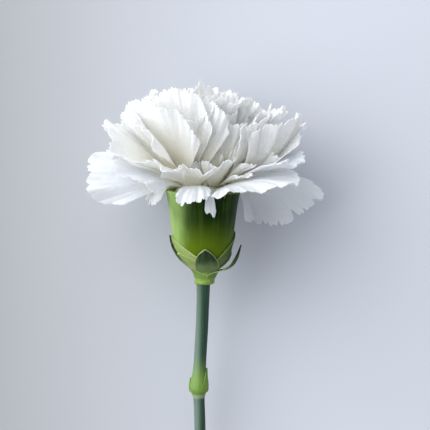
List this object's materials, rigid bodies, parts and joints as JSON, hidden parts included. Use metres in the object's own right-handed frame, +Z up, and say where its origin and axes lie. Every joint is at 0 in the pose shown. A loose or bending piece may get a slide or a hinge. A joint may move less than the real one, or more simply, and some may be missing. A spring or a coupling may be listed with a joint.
{
  "type": "cut carnation flower",
  "caption": "Double cut carnation lying on a table: ruffled toothed petals, green tubular calyx with pointed bracts, jointed stem with a slanting cut end.",
  "frame": {"origin": "on the table under the middle of the lying flower", "axes": "+Z up from the table, +Y along the flower from the cut end of the stem towards the bloom, +X to the right of someone who looks down on it with the bloom at the top"},
  "size_m": [0.0728, 0.1845, 0.0546],
  "materials": {
    "petals": "soft matte white",
    "calyx": "satin leaf green",
    "epicalyx": "satin dark green",
    "stem": "waxy blue-green"
  },
  "bodies": {
    "root": {"petals": "petals", "calyx": "calyx", "epicalyx": "epicalyx", "stem": "stem"}
  },
  "joints": []
}
